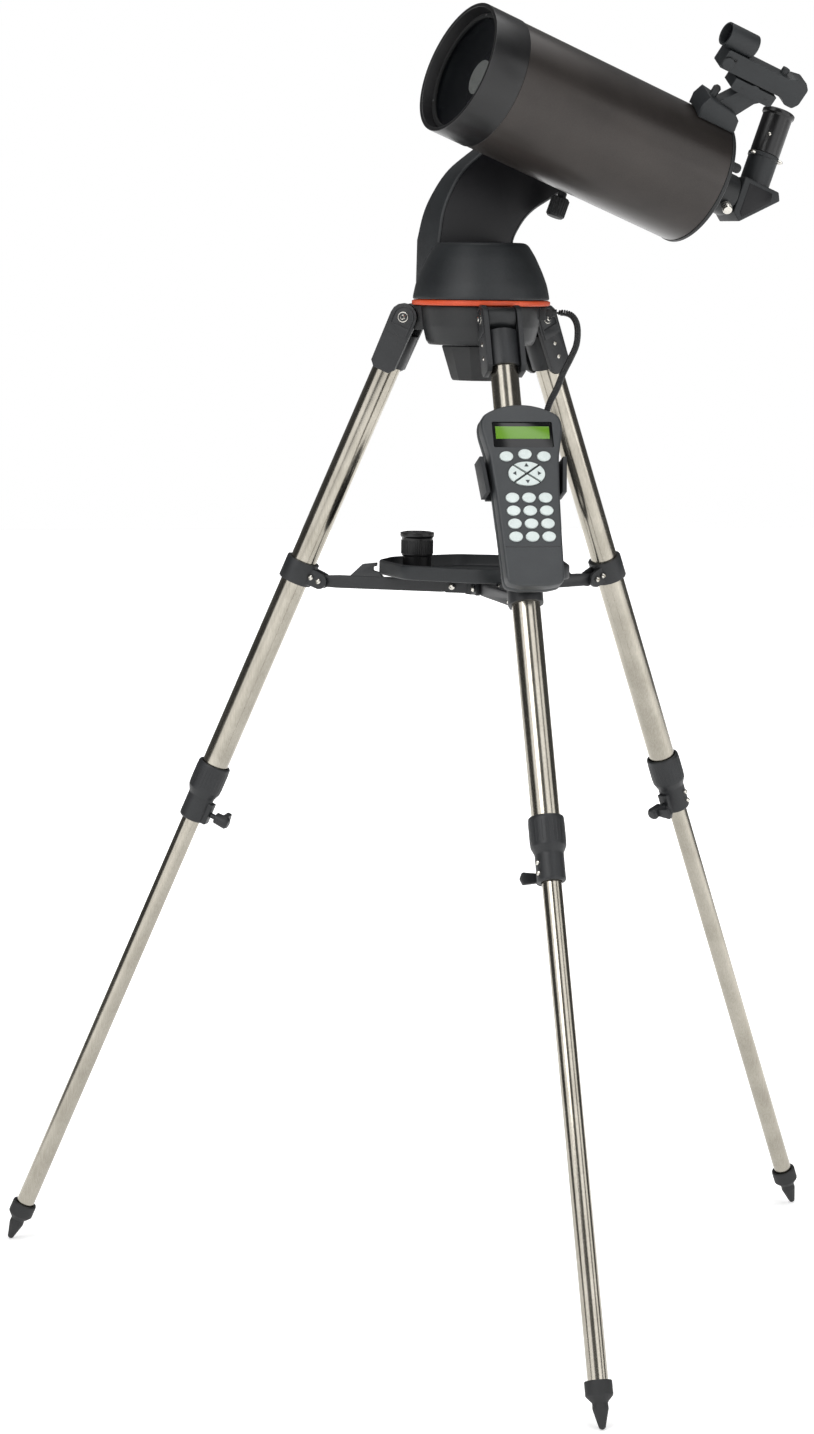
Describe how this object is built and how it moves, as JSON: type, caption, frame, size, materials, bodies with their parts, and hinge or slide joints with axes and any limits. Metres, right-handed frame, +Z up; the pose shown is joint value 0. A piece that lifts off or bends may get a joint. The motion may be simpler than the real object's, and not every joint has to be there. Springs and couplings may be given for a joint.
{
  "type": "catadioptric telescope on tripod",
  "caption": "Short closed-tube reflector telescope on a single-arm motorised altazimuth mount, with a folding steel tripod, accessory tray and corded hand controller.",
  "frame": {"origin": "centre of the bounding box's base, on the ground the three feet stand on", "axes": "+Z up, -Y out along the front leg that carries the hand controller, the tripod's axis vertical at Y = 138.25 mm"},
  "size_m": [0.9796, 0.8534, 1.4296],
  "materials": {
    "black_housing": "satin fine-grained black plastic",
    "black_metal": "satin black paint",
    "orange_ring": "satin orange plastic",
    "stainless_steel": "polished stainless tube",
    "tube_paint": "semi-gloss metallic grey-bronze paint",
    "satin_black": "satin black anodised look",
    "glass": "coated optical glass",
    "mirror": "aluminised",
    "brass": "machined",
    "rubber": "matt",
    "handset_plastic": "fine-grained charcoal plastic",
    "key_rubber": "pale silicone",
    "lcd": "backlit yellow-green display",
    "aluminium_head": "black painted casting"
  },
  "bodies": {
    "tripod": {"tripod_head": "aluminium_head", "base_ring": "orange_ring", "azimuth_gear": "brass", "cord_plug": "rubber", "handset_cord": "rubber"},
    "mounting_knob": {"mounting_knob": "black_housing"},
    "front_leg": {"front_hinge_bracket": "black_housing", "front_upper_tube": "stainless_steel", "front_clamp_collar": "black_housing", "front_spreader_collar": "black_housing", "handset_front": "handset_plastic", "handset_back": "handset_plastic", "handset_display": "lcd", "handset_holder": "black_housing"},
    "front_lower_leg": {"front_lower_tube": "stainless_steel", "front_foot": "rubber"},
    "front_clamp_knob": {"front_clamp_knob": "black_housing"},
    "front_strut": {"front_strut": "black_housing"},
    "right_leg": {"right_hinge_bracket": "black_housing", "right_upper_tube": "stainless_steel", "right_clamp_collar": "black_housing", "right_spreader_collar": "black_housing"},
    "right_lower_leg": {"right_lower_tube": "stainless_steel", "right_foot": "rubber"},
    "right_clamp_knob": {"right_clamp_knob": "black_housing"},
    "right_strut": {"right_strut": "black_housing"},
    "left_leg": {"left_hinge_bracket": "black_housing", "left_upper_tube": "stainless_steel", "left_clamp_collar": "black_housing", "left_spreader_collar": "black_housing"},
    "left_lower_leg": {"left_lower_tube": "stainless_steel", "left_foot": "rubber"},
    "left_clamp_knob": {"left_clamp_knob": "black_housing"},
    "left_strut": {"left_strut": "black_housing"},
    "spreader": {"spreader_hub": "black_housing", "accessory_tray": "black_housing"},
    "spare_eyepiece": {"spare_eyepiece": "satin_black"},
    "mount_head": {"dome_housing": "black_housing", "arm_shell": "black_housing", "arm_cover": "black_housing", "azimuth_motor": "stainless_steel", "altitude_motor": "stainless_steel"},
    "saddle": {"altitude_gear": "brass", "altitude_saddle": "black_metal"},
    "saddle_knob": {"saddle_knob": "rubber"},
    "optical_tube": {"optical_tube": "tube_paint", "front_cell": "satin_black", "corrector_lens": "glass", "rear_cell": "black_metal", "dovetail_bar": "black_metal", "visual_back": "black_metal", "finder_bracket": "black_housing"},
    "primary_mirror": {"primary_mirror": "mirror"},
    "focus_knob": {"focus_knob": "rubber"},
    "diagonal_screw": {"diagonal_screw": "stainless_steel"},
    "star_diagonal": {"star_diagonal": "black_metal"},
    "eyepiece": {"eyepiece": "satin_black"},
    "finder_body": {"finder_body": "black_housing"},
    "keypad": {"keypad": "key_rubber"},
    "arrow_keys": {"arrow_keys": "key_rubber"}
  },
  "joints": [
    {"name": "azimuth", "type": "hinge", "parent": "tripod", "child": "mount_head", "pos_m": [0, 0.13825, 1.11], "axis": [0, 0, 1], "continuous": true},
    {"name": "altitude", "type": "hinge", "parent": "mount_head", "child": "saddle", "pos_m": [0.12254, 0.16758, 1.2835], "axis": [-0.2328, 0.9725, 0], "range_deg": [-26, 69]},
    {"name": "tube_slide", "type": "slide", "parent": "saddle", "child": "optical_tube", "axis": [0.9085, 0.2175, -0.3567], "range_m": [-0.03, 0.03]},
    {"name": "saddle_knob_turn", "type": "hinge", "parent": "saddle", "child": "saddle_knob", "pos_m": [0.09371, 0.16068, 1.21989], "axis": [0.3469, 0.083, 0.9342], "continuous": true},
    {"name": "focus_turn", "type": "hinge", "parent": "optical_tube", "child": "focus_knob", "pos_m": [0.26002, 0.06681, 1.26388], "axis": [0.9085, 0.2175, -0.3567], "range_deg": [-1081, 1081]},
    {"name": "focus_travel", "type": "slide", "parent": "optical_tube", "child": "primary_mirror", "axis": [0.9085, 0.2175, -0.3567], "range_m": [-0.0024, 0.0024]},
    {"name": "diagonal_turn", "type": "hinge", "parent": "optical_tube", "child": "star_diagonal", "pos_m": [0.30041, 0.12275, 1.22143], "axis": [0.9085, 0.2175, -0.3567], "range_deg": [-100, 100]},
    {"name": "eyepiece_slide", "type": "slide", "parent": "star_diagonal", "child": "eyepiece", "axis": [0.3469, 0.083, 0.9342], "range_m": [0, 0.03]},
    {"name": "diagonal_screw_turn", "type": "hinge", "parent": "optical_tube", "child": "diagonal_screw", "pos_m": [0.26574, 0.0895, 1.21839], "axis": [-0.0156, -0.8356, -0.5491], "continuous": true},
    {"name": "finder_tilt", "type": "hinge", "parent": "optical_tube", "child": "finder_body", "pos_m": [0.28199, 0.05253, 1.35317], "axis": [-0.0281, 0.8838, 0.4671], "range_deg": [-2.5, 2.5]},
    {"name": "mounting_knob_turn", "type": "hinge", "parent": "tripod", "child": "mounting_knob", "pos_m": [0, 0.13825, 1.04], "axis": [0, 0, 1], "continuous": true},
    {"name": "front_leg_fold", "type": "hinge", "parent": "tripod", "child": "front_leg", "pos_m": [0, 0.05505, 1.0925], "axis": [1, 0, 0], "range_deg": [0, 9], "deforming": ["handset_cord"]},
    {"name": "front_strut_turn", "type": "hinge", "parent": "front_leg", "child": "front_strut", "pos_m": [0, -0.04475, 0.7945], "axis": [1, 0, 0], "range_deg": [0, 42]},
    {"name": "front_leg_extension", "type": "slide", "parent": "front_leg", "child": "front_lower_leg", "axis": [0, 0.4019, 0.9157], "range_m": [0, 0.45]},
    {"name": "front_clamp_knob_turn", "type": "hinge", "parent": "front_leg", "child": "front_clamp_knob", "pos_m": [0, -0.16547, 0.51548], "axis": [0, 0.9157, -0.4019], "continuous": true},
    {"name": "right_leg_fold", "type": "hinge", "parent": "tripod", "child": "right_leg", "pos_m": [0.07205, 0.17985, 1.0925], "axis": [-0.5, 0.866, 0], "range_deg": [0, 9]},
    {"name": "right_strut_turn", "type": "hinge", "parent": "right_leg", "child": "right_strut", "pos_m": [0.15848, 0.22975, 0.7945], "axis": [-0.5, 0.866, 0], "range_deg": [0, 42]},
    {"name": "right_leg_extension", "type": "slide", "parent": "right_leg", "child": "right_lower_leg", "axis": [-0.3481, -0.201, 0.9157], "range_m": [0, 0.45]},
    {"name": "right_clamp_knob_turn", "type": "hinge", "parent": "right_leg", "child": "right_clamp_knob", "pos_m": [0.26303, 0.29011, 0.51548], "axis": [-0.793, -0.4578, -0.4019], "continuous": true},
    {"name": "left_leg_fold", "type": "hinge", "parent": "tripod", "child": "left_leg", "pos_m": [-0.07205, 0.17985, 1.0925], "axis": [-0.5, -0.866, 0], "range_deg": [0, 9]},
    {"name": "left_strut_turn", "type": "hinge", "parent": "left_leg", "child": "left_strut", "pos_m": [-0.15848, 0.22975, 0.7945], "axis": [-0.5, -0.866, 0], "range_deg": [0, 42]},
    {"name": "left_leg_extension", "type": "slide", "parent": "left_leg", "child": "left_lower_leg", "axis": [0.3481, -0.201, 0.9157], "range_m": [0, 0.45]},
    {"name": "left_clamp_knob_turn", "type": "hinge", "parent": "left_leg", "child": "left_clamp_knob", "pos_m": [-0.26303, 0.29011, 0.51548], "axis": [0.793, -0.4578, -0.4019], "continuous": true},
    {"name": "spreader_lift", "type": "slide", "parent": "tripod", "child": "spreader", "axis": [0, 0, 1], "range_m": [0, 0.102]},
    {"name": "spare_eyepiece_lift", "type": "slide", "parent": "spreader", "child": "spare_eyepiece", "axis": [0, 0, 1], "range_m": [0, 0.025]},
    {"name": "keypad_press", "type": "slide", "parent": "front_leg", "child": "keypad", "axis": [0, 0.9157, -0.4019], "range_m": [0, 0.0012], "stiffness_N_per_m": 800, "springref_m": -0.001},
    {"name": "arrow_keys_press", "type": "slide", "parent": "front_leg", "child": "arrow_keys", "axis": [0, 0.9157, -0.4019], "range_m": [0, 0.0012], "stiffness_N_per_m": 800, "springref_m": -0.001}
  ],
  "couplings": [
    {"joint": "focus_turn", "follows": "focus_travel", "rad_per_m": 7854},
    {"joint": "right_leg_fold", "follows": "front_leg_fold", "ratio": 1},
    {"joint": "left_leg_fold", "follows": "front_leg_fold", "ratio": 1},
    {"joint": "front_strut_turn", "follows": "front_leg_fold", "ratio": 4.1059},
    {"joint": "right_strut_turn", "follows": "front_leg_fold", "ratio": 4.1059},
    {"joint": "left_strut_turn", "follows": "front_leg_fold", "ratio": 4.1059},
    {"joint": "spreader_lift", "follows": "front_leg_fold", "m_per_rad": 0.64237}
  ]
}
